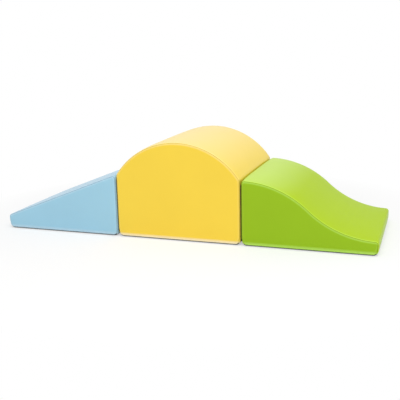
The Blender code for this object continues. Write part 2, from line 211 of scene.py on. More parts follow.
soft_box_data = bpy.data.lights.new("soft_box", "AREA")
soft_box_data.size = SOFT_BOX_SIZE
soft_box_data.energy = SOFT_BOX_POWER
soft_box = bpy.data.objects.new("soft_box", soft_box_data)
soft_box.location = SOFT_BOX_PLACE
soft_box.rotation_euler = (-Vector(SOFT_BOX_PLACE)).to_track_quat("-Z", "Y").to_euler()
bpy.context.scene.collection.objects.link(soft_box)


# Foam cores. Each block is cut in one piece from cream upholstery foam, with its edges eased by hand and a
# shallow pocket over the zip. The cover hides it.
DECK_HEIGHT = 0.300
RAMP_TOE_HEIGHT = 0.068
SLIDE_TOE_HEIGHT = 0.066
HUMP_HEIGHT = 0.460
BASE_CORNER_RADIUS = 0.015
DECK_CORNER_RADIUS = 0.015
SHOULDER_RADIUS = 0.024
TOE_CORNER_RADIUS = 0.015
CORNER_STEPS = 8
ARC_START = 0.024
ARCH_STEPS = 96
WAVE_STEPS = 40
BLOCKS = ("ramp", "hump", "slide")
SIDES = (("front", -1), ("back", 1))
BLOCK_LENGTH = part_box("hump_wrap_panel")[1].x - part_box("hump_wrap_panel")[0].x
BLOCK_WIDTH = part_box("hump_back_panel")[1].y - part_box("hump_front_panel")[0].y
BLOCK_MIDDLE = {name: sum(corner.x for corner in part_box(name + "_foam_core")) / 2 for name in BLOCKS}
FOAM_INSET = 0.0030
FOAM_EDGE_EASING = 0.024
FOAM_EDGE_ANGLE = math.radians(25)
POCKET_CLEARANCE = 0.0025
FOAM_COLOUR = (0.80, 0.76, 0.61)
FOAM_PORE_SHADED_COLOUR = (0.52, 0.47, 0.34)
FOAM_PORE_SCALE = 520.0
FOAM_PORE_EDGE = 0.6
FOAM_PORE_SHADE = (0.25, 0.7)
FOAM_PORE_DEPTH = 0.0006
FOAM_PATCHES = (9.0, 4.0)
FOAM_ROUGHNESS = (0.9, 0.1)
FOAM_SHARP = math.radians(40)
LEVEL_BASE = 0.999


def arc_points(centre_x, centre_z, radius, start, end, steps):
    """The points of an arc from its start to its end, with both of them."""
    angles = [start + (end - start) * step / steps for step in range(steps + 1)]
    return [(centre_x + radius * math.cos(a), centre_z + radius * math.sin(a), 0.0) for a in angles]


def block_corners(name):
    """The corners (x, z, radius) of a block seen from the front, anticlockwise from the base's left end."""
    half = BLOCK_LENGTH / 2
    level = math.pi / 2
    base = [(-half, 0.0, BASE_CORNER_RADIUS), (half, 0.0, BASE_CORNER_RADIUS)]
    if name == "ramp":
        deck = (half, DECK_HEIGHT, DECK_CORNER_RADIUS)
        return [*base, deck, (-half, RAMP_TOE_HEIGHT, TOE_CORNER_RADIUS)]
    if name == "hump":
        rise = HUMP_HEIGHT - DECK_HEIGHT
        radius = (half**2 + rise**2) / (2 * rise)
        start = math.atan2(DECK_HEIGHT - HUMP_HEIGHT + radius, half) + ARC_START / radius
        arch = arc_points(0.0, HUMP_HEIGHT - radius, radius, start, math.pi - start, ARCH_STEPS)
        shoulders = [(side * half, DECK_HEIGHT, SHOULDER_RADIUS) for side in (1, -1)]
        return [*base, shoulders[0], *arch, shoulders[1]]
    drop = (DECK_HEIGHT - SLIDE_TOE_HEIGHT) / 2
    radius = (half**2 + drop**2) / (2 * drop)
    sweep = math.asin(half / radius)
    skip = ARC_START / radius
    hollow = arc_points(half, SLIDE_TOE_HEIGHT + radius, radius, -level - skip, -level - sweep, WAVE_STEPS)
    crest = arc_points(-half, DECK_HEIGHT - radius, radius, level - sweep, level - skip, WAVE_STEPS)
    toe = (half, SLIDE_TOE_HEIGHT, TOE_CORNER_RADIUS)
    return [*base, toe, *hollow, *crest[1:], (-half, DECK_HEIGHT, DECK_CORNER_RADIUS)]


def inset_path(path, distance, closed):
    """Moves the path inwards, to its left, by the distance."""
    moved = []
    last = len(path) - 1
    for index, point in enumerate(path):
        before = path[index - 1] if index or closed else None
        after = path[(index + 1) % len(path)] if index < last or closed else None
        into = (point - before).normalized() if before is not None else (after - point).normalized()
        out = (after - point).normalized() if after is not None else into
        first = Vector((-into.y, into.x))
        second = Vector((-out.y, out.x))
        moved.append(point + (first + second) * distance / (1 + first.dot(second)))
    return moved


def cut_lines(bm, faces, cuts):
    """Cuts lines into these faces only, at (place, normal) planes, and returns the faces that they become."""
    for place, normal in cuts:
        corners = {vert for face in faces for vert in face.verts}
        sides = {edge for face in faces for edge in face.edges}
        cut = bmesh.ops.bisect_plane(bm, geom=[*faces, *sides, *corners], plane_co=place, plane_no=normal)
        faces = [item for item in cut["geom"] if isinstance(item, bmesh.types.BMFace)]
    return faces


def cuts_at(axis, places):
    """The (place, normal) planes that cut square to an axis."""
    normal = Vector.Fill(3, 0.0)
    normal[axis] = 1.0
    return [(normal * place, normal) for place in places]


def cut_window(bm, faces, low, high):
    """Cuts a rectangle, seen from below, into these faces, and returns the faces inside it."""
    faces = cut_lines(bm, faces, cuts_at(0, (low[0], high[0])) + cuts_at(1, (low[1], high[1])))
    inside = []
    for face in faces:
        middle = face.calc_center_median()
        if low[0] < middle.x < high[0] and low[1] < middle.y < high[1]:
            inside.append(face)
    return inside


def add_piece(name, bm, material, body, slot, sharp_angle=math.pi):
    """Makes a finished piece of the mesh, which is already in its place, with its material and its body. The
    slot is not used.
    """
    piece = as_object(name, bm)
    piece.data.materials.append(material)
    piece.data.shade_smooth()
    piece.data.set_sharp_from_angle(angle=sharp_angle)
    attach(piece, body)
    return piece


def verts_of(items):
    return [item for item in items if isinstance(item, bmesh.types.BMVert)]


def ease(bm, geom, offset, segments, affect="EDGES", clamp=False):
    """Rounds these edges or corners."""
    bmesh.ops.bevel(
        bm, geom=geom, offset=offset, offset_type="OFFSET", segments=segments, profile=0.5,
        material=-1, affect=affect, clamp_overlap=clamp,
    )


def foam_finish():
    """Open-cell foam: matt, with pores of unlike sizes, painted darker for the shade in them."""
    material, foam, place = new_material("foam")
    pores = foam.add("ShaderNodeTexVoronoi", {"feature": "F1"}, {"Vector": place, "Scale": FOAM_PORE_SCALE})
    patches = place.noise(*FOAM_PATCHES)
    # Painted shade in the pores.
    share = (FOAM_PORE_EDGE - pores).ranged(*FOAM_PORE_SHADE) * patches
    tone = foam.mixed(share, FOAM_COLOUR, FOAM_PORE_SHADED_COLOUR)
    foam.surfaced(tone, patches.ranged(*FOAM_ROUGHNESS), pores * FOAM_PORE_DEPTH)
    return material


def outline_prism(block, inset):
    """The block's outline as a prism, this far inside the block's faces."""
    outline = inset_path([Vector((x, z)) for x, z, _ in block_corners(block)], inset, closed=True)
    width = BLOCK_WIDTH - 2 * inset
    bm = bmesh.new()
    front = bm.faces.new([bm.verts.new((BLOCK_MIDDLE[block] + p.x, -width / 2, p.y)) for p in outline])
    grown = bmesh.ops.extrude_face_region(bm, geom=[front])["geom"]
    bmesh.ops.translate(bm, verts=verts_of(grown), vec=(0.0, width, 0.0))
    bmesh.ops.recalc_face_normals(bm, faces=bm.faces)
    return bm


def foam_core(block):
    """The outline as a prism, with its sharp edges eased and the pocket pushed up into its base."""
    bm = outline_prism(block, FOAM_INSET)
    sharp = [edge for edge in bm.edges if edge.calc_face_angle() > FOAM_EDGE_ANGLE]
    ease(bm, sharp, FOAM_EDGE_EASING, segments=6, clamp=True)
    level = [face for face in bm.faces if face.normal.z < -LEVEL_BASE]
    base = [max(level, key=lambda face: face.calc_area())]
    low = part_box(block + "_zip_tape_front")[0] - Vector.Fill(3, POCKET_CLEARANCE)
    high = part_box(block + "_zip_tape_back")[1] + Vector.Fill(3, POCKET_CLEARANCE)
    roof = cut_window(bm, base, low, high)
    lifted = bmesh.ops.extrude_face_region(bm, geom=roof)["geom"]
    bmesh.ops.delete(bm, geom=roof, context="FACES_ONLY")
    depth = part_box(block + "_zip_slider")[1].z + POCKET_CLEARANCE - FOAM_INSET
    bmesh.ops.translate(bm, verts=verts_of(lifted), vec=(0.0, 0.0, depth))
    return bm


foam_material = foam_finish()
for block in BLOCKS:
    core = add_piece(block + "_foam", foam_core(block), foam_material, block, "foam", FOAM_SHARP)
    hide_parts(block + "_foam_core")


# Fullness. The compressed foam presses each cover outwards between its seams. One coarse skin for each block
# is blown up in a cloth simulation with its seams held. It says where the cover is full, and FULLEST says how
# far the fullest point stands out.
EDGE_RADIUS = 0.011
SKIN_GRID = 0.013
SKIN_FRAMES = 20
SKIN_PRESSURE = 4.0
SKIN_STIFFNESS = 25.0
SKIN_BENDING = 1.0
SKIN_QUALITY = 4
SEAM_HOLD = 0.014
SEAM_SLOPE = 0.15
FULLEST = {"ramp": 0.0035, "hump": 0.0020, "slide": 0.0050}


def as_it_is_now(skin):
    """A new mesh of the object as its modifiers leave it at this frame."""
    view = bpy.context.evaluated_depsgraph_get()
    return bpy.data.meshes.new_from_object(skin.evaluated_get(view), depsgraph=view)


def blown_up(block):
    """The skin's surface at rest, and how far each of its points moved out in the simulation."""
    shape = as_object("skin", outline_prism(block, 0.0))
    remesh = shape.modifiers.new("even_grid", "REMESH")
    remesh.mode = "VOXEL"
    remesh.voxel_size = SKIN_GRID
    skin = bpy.data.objects.new("skin_cloth", as_it_is_now(shape))
    bpy.context.scene.collection.objects.link(skin)
    rest = skin.data.copy()
    held = skin.vertex_groups.new(name="seams")
    half = BLOCK_WIDTH / 2
    for vert in rest.vertices:
        at_side = half - abs(vert.co.y) < SEAM_HOLD
        across = max(abs(vert.normal.x), abs(vert.normal.z))
        at_end = vert.co.z < SEAM_HOLD
        if (at_side and across > SEAM_SLOPE) or at_end:
            held.add([vert.index], 1.0, "REPLACE")
    cloth = skin.modifiers.new("cloth", "CLOTH")
    cloth.settings.quality = SKIN_QUALITY
    cloth.settings.use_pressure = True
    cloth.settings.uniform_pressure_force = SKIN_PRESSURE
    cloth.settings.tension_stiffness = SKIN_STIFFNESS
    cloth.settings.compression_stiffness = SKIN_STIFFNESS
    cloth.settings.bending_stiffness = SKIN_BENDING
    cloth.settings.vertex_group_mass = held.name
    cloth.settings.effector_weights.gravity = 0.0
    cloth.collision_settings.use_collision = False
    cloth.point_cache.frame_start = 1
    cloth.point_cache.frame_end = SKIN_FRAMES
    for step in range(1, SKIN_FRAMES + 1):
        bpy.context.scene.frame_set(step)
    full = as_it_is_now(skin)
    bpy.context.scene.frame_set(1)
    moved = [(after.co - before.co).dot(before.normal) for before, after in zip(rest.vertices, full.vertices)]
    share = FULLEST[block] / max(moved)
    moved = [max(move, 0.0) * share for move in moved]
    places = [vert.co.copy() for vert in rest.vertices]
    polygons = [polygon.vertices[:] for polygon in rest.polygons]
    surface = bvhtree.BVHTree.FromPolygons(places, polygons)
    corners = [[(places[index], moved[index]) for index in polygon] for polygon in polygons]
    bpy.data.objects.remove(shape)
    bpy.data.objects.remove(skin)
    return surface, corners


def fullness_at(place, surface, corners):
    """How far the skin was blown out at the point nearest to this place."""
    spot, _, index, _ = surface.find_nearest(place)
    near = corners[index]
    weights = interpolate.poly_3d_calc([corner for corner, _ in near], spot)
    return sum(weight * move for weight, (_, move) in zip(weights, near))


blown_skins = {block: blown_up(block) for block in BLOCKS}


# Covers. Each is sewn from coated leatherette: a wrap panel over both ends and the walking surface, and two
# side panels. They meet halfway round the edge roundings, where they roll down into the seam over the folded
# allowance. The walking surface has a crown, and the low edges roll in under the block.
LONGEST_STEP = 0.010
SEAM_GAP = 0.0002
LIP_RADIUS = 0.0012
RIDGE_HEIGHT = 0.0008
RIDGE_PLACE = 0.0024
RIDGE_WIDTH = 0.0018
DRAWN_IN = 0.0012
DRAWN_IN_REACH = 0.010
DRAWN_IN_REACH_AT_ENDS = 0.005
SEAM_DEPTH = 0.0050
COVER_THICKNESS = 0.0012
LOW_EDGE_START = 0.015
LOW_EDGE_RADIUS = 0.024
LOW_EDGE_REACH = 0.042
LIP_STATIONS = (0.0, 0.0001, 0.0003, 0.0006, 0.0010, 0.0016, 0.0023, 0.0031, 0.0041, 0.0054, 0.0070)
FLAT_STATIONS = (0.0106, 0.0140, 0.0190, 0.0260, 0.0350)
SWELL = 0.0005
SWELL_REACH = 0.060
SWELL_SIZE = 0.110
CROWNS = {"ramp": 0.0015, "hump": 0.0025, "slide": 0.0060}
CROWN_REACH = 0.050
SIDE_GRID = 0.020
STITCH_PITCH = 0.0045
PUCKER_HEIGHT = 0.00012
PUCKER_REACH = 0.006
GRAIN_SCALE = 820.0
GRAIN_HEIGHT = 0.00003
# A paler band along the seams' lips is a painted highlight, where their roundings catch the light.
LIP_HIGHLIGHT_PLACE = 0.0045
LIP_HIGHLIGHT_WIDTH = 0.0055
# The seams' valleys are painted darker: painted shade.
SEAM_SHADE_WIDTH = 0.0022
SEAM_SHADES = {"ramp": 0.55, "hump": 0.42, "slide": 0.70}
# A paler band along the low edges is a painted reflection of the white floor.
FLOOR_REFLECTION_HEIGHT = 0.024
FLOOR_REFLECTION_FADE = 0.012
FLOOR_REFLECTION_SHARES = {"ramp": 0.50, "hump": 0.85, "slide": 0.72}
JOINT_PLACE = (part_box("hump_wrap_panel")[1].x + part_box("slide_wrap_panel")[0].x) / 2
# Painted shade on the covers where the blocks meet, darkest near the side seams.
JOINT_SHADE_REACH = 0.0075
JOINT_SHADE_FADE = 0.0055
JOINT_SHADE_DEPTH = 0.018
JOINT_SHADE_SHARES = {"ramp": 0.08, "hump": 0.60, "slide": 0.55}
# A paler colour on the level, high walking surfaces is a painted sheen.
TOP_SHEEN_SLOPE = 0.64
TOP_SHEEN_LOW = 0.235
COVER_SLOTS = {"ramp": "blue_cover", "hump": "yellow_cover", "slide": "green_cover"}
SIDE_COLOURS = {"ramp": (0.338, 0.588, 0.728), "hump": (0.875, 0.622, 0.060), "slide": (0.294, 0.486, 0.019)}
# The wrap colours are fitted to the lit walking surfaces and are paler and yellower than the side panels',
# the green most: partly painted light on the tops.
WRAP_COLOURS = {"ramp": (0.352, 0.576, 0.724), "hump": (0.90, 0.660, 0.074), "slide": (0.418, 0.597, 0.008)}
# The paler colours of the painted highlights on the lips and the low edges.
HIGHLIGHT_COLOURS = {"ramp": (0.62, 0.76, 0.85), "hump": (0.96, 0.86, 0.62), "slide": (0.54, 0.84, 0.17)}
# The paler colours of the painted sheen on the walking surfaces.
TOP_SHEEN_COLOURS = {"ramp": (0.62, 0.76, 0.85), "hump": (0.96, 0.86, 0.62), "slide": (0.63, 0.84, 0.25)}
TOP_SHEEN_SHARES = {"ramp": 0.0, "hump": 0.30, "slide": 0.54}
# How strongly the lips' painted highlight shows on side and wrap panels, and on each block.
LIP_HIGHLIGHT_SHARES = {"side": (0.08, 0.75), "wrap": (0.10, 0.28)}
LIP_HIGHLIGHT_STRENGTHS = {"ramp": 1.2, "hump": 1.0, "slide": 1.6}
COATING_IOR = {"ramp": 1.20, "hump": 1.27, "slide": 1.10}
COATING_ROUGHNESS = 0.27
GRAIN_ROUGHNESS = 0.08
BLOTCH_ROUGHNESS = 0.06
# Roughness is raised where the highlights and sheen are painted.
HIGHLIGHT_ROUGHNESS = 0.06
COVER_BLOTCHES = (5.0, 3.0)
# Noise that breaks up the painted highlights.
HIGHLIGHT_BREAKUP = (70.0, 4.0)
HIGHLIGHT_BREAKUP_RANGE = (0.8, 0.4)
# Shares of the colour: a deeper and a brighter random tone, the painted shade in the seams and the painted
# shade where the blocks meet.
COVER_SHADES = (0.96, 1.04, 0.45, 0.30)
JOINT_SHADE_SHARPNESS = 3.0
NEAR_RIM_EDGES = 4
FAR_FROM_BASE = 1.0


def rounded(corners):
    """Replaces each (x, z, radius) corner by an arc. A radius of zero keeps the point."""
    outline = []
    for index, (x, z, radius) in enumerate(corners):
        corner = Vector((x, z))
        if not radius:
            outline.append(corner)
            continue
        before = (Vector(corners[index - 1][:2]) - corner).normalized()
        after = (Vector(corners[(index + 1) % len(corners)][:2]) - corner).normalized()
        half_angle = before.angle(after) / 2
        centre = corner + (before + after).normalized() * radius / math.sin(half_angle)
        spoke = corner + before * radius / math.tan(half_angle) - centre
        turned = (math.pi - 2 * half_angle) / CORNER_STEPS
        for step in range(CORNER_STEPS + 1):
            outline.append(centre + Matrix.Rotation(turned * step, 2) @ spoke)
    return outline


def cover_outline(block):
    """The cover's outline from halfway round the base's left corner, and where the base panel ends."""
    corners = rounded(block_corners(block))
    start = CORNER_STEPS // 2
    corners = corners[start:] + corners[:start]
    outline = []
    for first, second in zip(corners, corners[1:] + corners[:1]):
        steps = math.ceil((second - first).length / LONGEST_STEP)
        outline.extend(first.lerp(second, step / steps) for step in range(steps))
    seam_height = outline[0].y
    base_end = next(i for i, p in enumerate(outline) if p.x > 0 and p.y > seam_height - SEAM_GAP)
    return outline, base_end


def with_lip_points(path):
    """The open path with the lips' close points put in at both of its ends."""
    for _ in range(2):
        gone = 0.0
        made = [path[0]]
        wanted = [distance for distance in LIP_STATIONS if distance]
        for first, second in zip(path, path[1:]):
            step = (second - first).length
            while wanted and wanted[0] < gone + step:
                made.append(first.lerp(second, (wanted.pop(0) - gone) / step))
            gone += step
            if not wanted:
                made.append(second)
        path = made[::-1]
    return path


def rim_station(distance, towards_side):
    """How far in and where across a block its surface lies, this far from a side seam."""
    eighth = EDGE_RADIUS * math.pi / 4
    distance += SEAM_GAP / 2
    flat = max(distance - eighth, 0.0)
    angle = math.pi / 4 + min(distance, eighth) / EDGE_RADIUS * (1 if towards_side else -1)
    inset = EDGE_RADIUS * (1 - math.cos(angle))
    out = BLOCK_WIDTH / 2 - EDGE_RADIUS + EDGE_RADIUS * math.sin(angle)
    return (inset + flat, out) if towards_side else (inset, out - flat)


def swept(path, stations, closed):
    """Sweeps the path over (inset, y, seam distance) stations. Each new row of points is an extrusion."""
    bm = bmesh.new()
    column = bm.verts.layers.int.new("column")
    along = bm.verts.layers.float.new("along")
    seam = bm.verts.layers.float.new("from_side_seam")
    bm.verts.layers.float.new("from_base_seam")
    runs = [0.0]
    for first, second in zip(path, path[1:]):
        runs.append(runs[-1] + (second - first).length)
    if closed:
        whole = runs[-1] + (path[0] - path[-1]).length
        runs = [min(run, whole - run) for run in runs]
    edges = []
    for station, (inset, y, distance) in enumerate(stations):
        if station:
            grown = bmesh.ops.extrude_edge_only(bm, edges=edges)["geom"]
            verts = verts_of(grown)
            sides = [item for item in grown if isinstance(item, bmesh.types.BMEdge)]
            edges = [edge for edge in sides if all(vert in verts for vert in edge.verts)]
        else:
            verts = [bm.verts.new() for _ in path]
            ring = verts[1:] + verts[:1] if closed else verts[1:]
            edges = [bm.edges.new(pair) for pair in zip(verts, ring)]
            for index, vert in enumerate(verts):
                vert[column] = index
        row = inset_path(path, inset, closed)
        for vert in verts:
            point = row[vert[column]]
            vert.co = (point.x, y, point.y)
            vert[along] = runs[vert[column]]
            vert[seam] = distance
    return bm, edges


def strip_panel(path):
    """A panel that runs along an open path and across the whole block, from side seam to side seam."""
    path = with_lip_points(path)
    back = [(*rim_station(d, False), d) for d in LIP_STATIONS + FLAT_STATIONS]
    front = [(inset, -y, d) for inset, y, d in back]
    across = 2 * back[-1][1]
    steps = math.ceil(across / (2 * LONGEST_STEP))
    middle = []
    for step in range(1, steps):
        distance = back[-1][2] + min(step, steps - step) * across / steps
        middle.append((0.0, across * (step / steps - 0.5), distance))
    bm, _ = swept(path, [*front, *middle, *reversed(back)], closed=False)
    base = bm.verts.layers.float["from_base_seam"]
    along = bm.verts.layers.float["along"]
    length = max(vert[along] for vert in bm.verts)
    for vert in bm.verts:
        vert[base] = min(vert[along], length - vert[along])
    return bm


def lines_between(low, high, longest_step):
    """Evenly spaced places between two ends, no further apart than the longest step."""
    steps = math.ceil((high - low) / longest_step)
    return [low + (high - low) * step / steps for step in range(1, steps)]


def side_panel(outline, side):
    """A side panel: the edge rounding as rings, and inside them one face cut into a grid."""
    stations = [(*rim_station(d, True), d) for d in LIP_STATIONS + FLAT_STATIONS[:1]]
    bm, last = swept(outline, [(inset, side * y, d) for inset, y, d in stations], closed=True)
    inner = bmesh.ops.contextual_create(bm, geom=last)["faces"]
    xs = [vert.co.x for vert in bm.verts]
    zs = [vert.co.z for vert in bm.verts]
    cuts = cuts_at(0, lines_between(min(xs), max(xs), SIDE_GRID))
    cuts += cuts_at(2, lines_between(min(zs), max(zs), SIDE_GRID))
    cut_lines(bm, inner, cuts)
    if side < 0:
        bmesh.ops.reverse_faces(bm, faces=bm.faces)
    measure_from_rim(bm)
    return bm


def measure_from_rim(bm):
    """Sets how far the side panel's grid points lie from its rim, because the cuts only guess it."""
    seam = bm.verts.layers.float["from_side_seam"]
    base = bm.verts.layers.float["from_base_seam"]
    rim = [edge for edge in bm.edges if edge.is_boundary]
    tree = kdtree.KDTree(len(rim))
    for index, edge in enumerate(rim):
        tree.insert((edge.verts[0].co + edge.verts[1].co) / 2, index)
    tree.balance()
    rings = set(LIP_STATIONS)
    for vert in bm.verts:
        vert[base] = FAR_FROM_BASE
        if round(vert[seam], 4) in rings:
            continue
        near = []
        for _, index, _ in tree.find_n(vert.co, NEAR_RIM_EDGES):
            ends = [end.co for end in rim[index].verts]
            spot, share = geometry.intersect_point_line(vert.co, *ends)
            spot = ends[0] if share < 0 else ends[1] if share > 1 else spot
            near.append((vert.co - spot).length)
        vert[seam] = min(near)


def seam_profile(distance, reach):
    """The cover's height near a seam: drawn in, with a ridge over the allowance and a dip at its edge."""
    short = max(LIP_RADIUS - distance, 0.0)
    dip = LIP_RADIUS - math.sqrt(LIP_RADIUS**2 - short**2)
    ridge = RIDGE_HEIGHT * math.exp(-((distance - RIDGE_PLACE) / RIDGE_WIDTH) ** 2)
    return ridge - dip - DRAWN_IN * math.exp(-distance / reach)


def low_edge_distance(distance):
    """How far from a low edge's corner a point comes to lie when the edge is rolled in."""
    if distance > LOW_EDGE_REACH:
        return distance
    if distance < LOW_EDGE_START:
        return distance * LOW_EDGE_RADIUS / LOW_EDGE_START
    share = (distance - LOW_EDGE_START) / (LOW_EDGE_REACH - LOW_EDGE_START)
    return LOW_EDGE_RADIUS + (LOW_EDGE_REACH - LOW_EDGE_RADIUS) * share


def rolled_in(place, block):
    """Rounds a cover's low edges more than the others, as the foam lets them roll in under the block."""
    from_end = BLOCK_LENGTH / 2 - abs(place.x - BLOCK_MIDDLE[block])
    from_side = BLOCK_WIDTH / 2 - abs(place.y)
    fades = []
    for distance in (place.z, min(from_end, from_side)):
        left = (LOW_EDGE_REACH - distance) / (LOW_EDGE_REACH - LOW_EDGE_START)
        fades.append(min(max(left, 0.0), 1.0))
    inwards = (low_edge_distance(from_end) - from_end) * fades[0]
    sideways = (low_edge_distance(from_side) - from_side) * fades[0]
    upwards = (low_edge_distance(place.z) - place.z) * fades[1]
    towards_middle = math.copysign(inwards, BLOCK_MIDDLE[block] - place.x)
    return place + Vector((towards_middle, math.copysign(sideways, -place.y), upwards))


def walking_side(vert):
    """1 where a wrap panel faces up, and 0 on its upright ends, which stay flat by the next block."""
    return max(vert.normal.z, 0.0) / max(math.hypot(vert.normal.x, vert.normal.z), SEAM_GAP)


def upholster(bm, block, fullness, crown=0.0):
    """Rolls the edges into their seams and lets the panel swell where it is full."""
    seam = bm.verts.layers.float["from_side_seam"]
    base = bm.verts.layers.float["from_base_seam"]
    bmesh.ops.translate(bm, verts=bm.verts, vec=(BLOCK_MIDDLE[block], 0.0, 0.0))
    for vert in bm.verts:
        vert.co = rolled_in(vert.co, block)
    bm.normal_update()
    moves = {}
    for vert in bm.verts:
        near = min(vert[seam], vert[base])
        full = fullness(vert)
        reach = DRAWN_IN_REACH * full + DRAWN_IN_REACH_AT_ENDS * (1 - full)
        swell = SWELL * (1 - math.exp(-near / SWELL_REACH)) * noise.noise(vert.co / SWELL_SIZE)
        swell += crown * (1 - math.exp(-near / CROWN_REACH)) * vert.co.z / DECK_HEIGHT
        if block in blown_skins:
            swell += fullness_at(vert.co, *blown_skins[block])
        moves[vert] = vert.normal * (full * swell + seam_profile(near, reach))
    rim = [edge for edge in bm.edges if edge.is_boundary]
    inwards = {vert: -vert.normal * SEAM_DEPTH for edge in rim for vert in edge.verts}
    for vert, move in moves.items():
        vert.co += move
    allowance = {tuple(vert.co): move for vert, move in inwards.items()}
    for vert in verts_of(bmesh.ops.extrude_edge_only(bm, edges=rim)["geom"]):
        vert.co += allowance[tuple(vert.co)]


def leatherette(name, block, colour, lip_highlight_shares):
    """Coated cloth: a pebbled grain, a soft gloss and puckers at the stitches, with painted highlights, sheen
    and shade.
    """
    material, skin, place = new_material(name)
    names = ("from_side_seam", "from_base_seam", "along")
    side, base, along = [skin.add("ShaderNodeAttribute", {"attribute_name": n}, output="Fac") for n in names]
    facing_up = skin.add("ShaderNodeTexCoord", output="Normal").axis("Z").clamped()
    nearest = side.math("MINIMUM", side, base)
    blotches = place.noise(*COVER_BLOTCHES)
    highlight_breakup = place.noise(*HIGHLIGHT_BREAKUP)
    cells = {"Vector": place, "Scale": GRAIN_SCALE}
    grain = skin.add("ShaderNodeTexVoronoi", {"feature": "SMOOTH_F1"}, cells)
    # Painted shade in the seams' valleys.
    seam_shade = (1.0 - nearest / SEAM_SHADE_WIDTH).clamped()
    # Painted shade where the blocks meet, darkest near the side seams.
    from_joint = side.math("ABSOLUTE", side.math("ABSOLUTE", place.axis("X")) - JOINT_PLACE)
    at_joint = ((JOINT_SHADE_REACH - from_joint) / JOINT_SHADE_FADE).clamped()
    joint_shade = at_joint * ((1.0 - side / JOINT_SHADE_DEPTH) * JOINT_SHADE_SHARPNESS).clamped()
    # Painted highlight: a paler band along the seams' lips, stronger where they face up.
    lip_highlight = (1.0 - side.math("ABSOLUTE", nearest - LIP_HIGHLIGHT_PLACE) / LIP_HIGHLIGHT_WIDTH).clamped()
    lip_highlight = lip_highlight * facing_up.ranged(*lip_highlight_shares) * LIP_HIGHLIGHT_STRENGTHS[block]
    height = place.axis("Z")
    # Painted reflection of the white floor: a paler band along the low edges.
    floor_reflection = ((FLOOR_REFLECTION_HEIGHT - height) / FLOOR_REFLECTION_FADE).clamped() * FLOOR_REFLECTION_SHARES[block]
    # Painted sheen on the level, high walking surfaces.
    level = ((facing_up - TOP_SHEEN_SLOPE) / (1.0 - TOP_SHEEN_SLOPE)).clamped()
    high = ((height - TOP_SHEEN_LOW) / (DECK_HEIGHT - TOP_SHEEN_LOW)).clamped()
    # The painted highlights, broken up by noise and kept off the painted shade where the blocks meet.
    painted_highlight = side.math("MAXIMUM", floor_reflection, lip_highlight) * highlight_breakup.ranged(*HIGHLIGHT_BREAKUP_RANGE) * (1.0 - joint_shade)
    painted_top_sheen = level * high * TOP_SHEEN_SHARES[block]
    deep, bright, seam_shade_colour, joint_shade_colour = [shade(colour, share) for share in COVER_SHADES]
    tone = skin.mixed(blotches, deep, bright)
    tone = skin.mixed(painted_top_sheen, tone, TOP_SHEEN_COLOURS[block])
    tone = skin.mixed(painted_highlight.clamped(), tone, HIGHLIGHT_COLOURS[block])
    tone = skin.mixed(seam_shade * SEAM_SHADES[block], tone, seam_shade_colour)
    tone = skin.mixed(joint_shade * JOINT_SHADE_SHARES[block], tone, joint_shade_colour)
    puckers = along.waves(STITCH_PITCH) * (1.0 - side / PUCKER_REACH).clamped()
    roughness = COATING_ROUGHNESS + grain * GRAIN_ROUGHNESS + (blotches - 0.5) * BLOTCH_ROUGHNESS
    roughness = roughness + side.math("MAXIMUM", painted_highlight, painted_top_sheen) * HIGHLIGHT_ROUGHNESS
    relief = puckers * PUCKER_HEIGHT - grain * GRAIN_HEIGHT
    skin.surfaced(tone, roughness, relief, {"IOR": COATING_IOR[block]})
    return material


def add_panel(block, part, bm, material, slot):
    """A sewn panel, thickened inwards."""
    piece = add_piece(f"{block}_{part}_cover", bm, material, block, slot)
    thickness = piece.modifiers.new("cover_thickness", "SOLIDIFY")
    thickness.thickness = COVER_THICKNESS
    thickness.offset = -1.0
    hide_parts(f"{block}_{part}_panel")


for block in BLOCKS:
    slot = COVER_SLOTS[block]
    outline, base_end = cover_outline(block)
    side_material = leatherette(slot, block, SIDE_COLOURS[block], LIP_HIGHLIGHT_SHARES["side"])
    wrap_material = leatherette(slot + "_top", block, WRAP_COLOURS[block], LIP_HIGHLIGHT_SHARES["wrap"])
    wrap = strip_panel(outline[base_end:] + outline[:1])
    upholster(wrap, block, walking_side, CROWNS[block])
    add_panel(block, "wrap", wrap, wrap_material, slot)
    for part, side in SIDES:
        panel = side_panel(outline, side)
        upholster(panel, block, lambda vert: 1.0)
        add_panel(block, part, panel, side_material, slot)


# Base panels. Dark anti-slip cloth, woven and printed with rubbery dots, closes each cover underneath. It
# lies flat on the floor, and has a slot with turned-in edges for the zip.
DOT_PITCH = 0.0045
DOT_SHARE = 0.30
DOT_HEIGHT = 0.0004
THREAD_PITCH = 0.0008
THREAD_HEIGHT = 0.00010
SLOT_LENGTH = 0.500
SLOT_WIDTH = 0.020
BASE_COLOUR = (0.045, 0.050, 0.056)
DOT_COLOUR = (0.020, 0.021, 0.023)
DOT_SHARPNESS = 8.0
WEAVE_SHADE = (0.25, 0.2)
WEAVE_LIGHT = 1.5
DUST = (14.0, 5.0)
DUST_START = 0.45
DUST_SHARE = 0.3
DUST_COLOUR = (0.30, 0.28, 0.25)
BASE_ROUGHNESS = (0.88, -0.38)
LEVEL_CLOTH = 0.99


